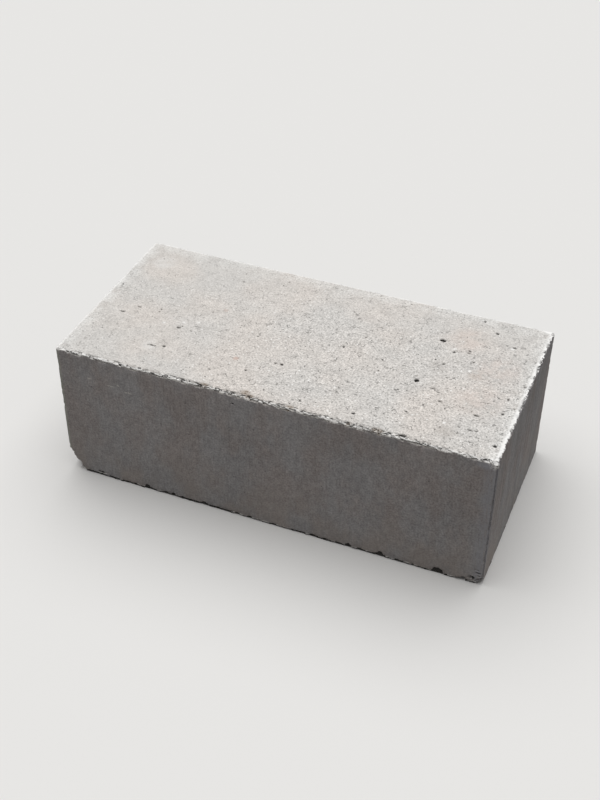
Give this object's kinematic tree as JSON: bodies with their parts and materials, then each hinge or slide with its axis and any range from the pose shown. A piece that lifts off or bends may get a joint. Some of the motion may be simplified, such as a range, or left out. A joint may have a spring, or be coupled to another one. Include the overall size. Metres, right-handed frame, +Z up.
{
  "type": "fly ash brick",
  "caption": "Solid rectangular fly ash brick for masonry, pale grey and fine-grained, with flat bed faces, sharp arrises and light handling chips.",
  "frame": {"origin": "centre of the lower bed face, on the surface that the brick rests on", "axes": "+X along the length, +Y from the front stretcher face to the back one, +Z up"},
  "size_m": [0.23, 0.11, 0.08],
  "materials": {
    "fly_ash_body": "matt, fine-grained pressed fly ash and sand, with small pores"
  },
  "bodies": {
    "root": {"brick": "fly_ash_body"}
  },
  "joints": []
}
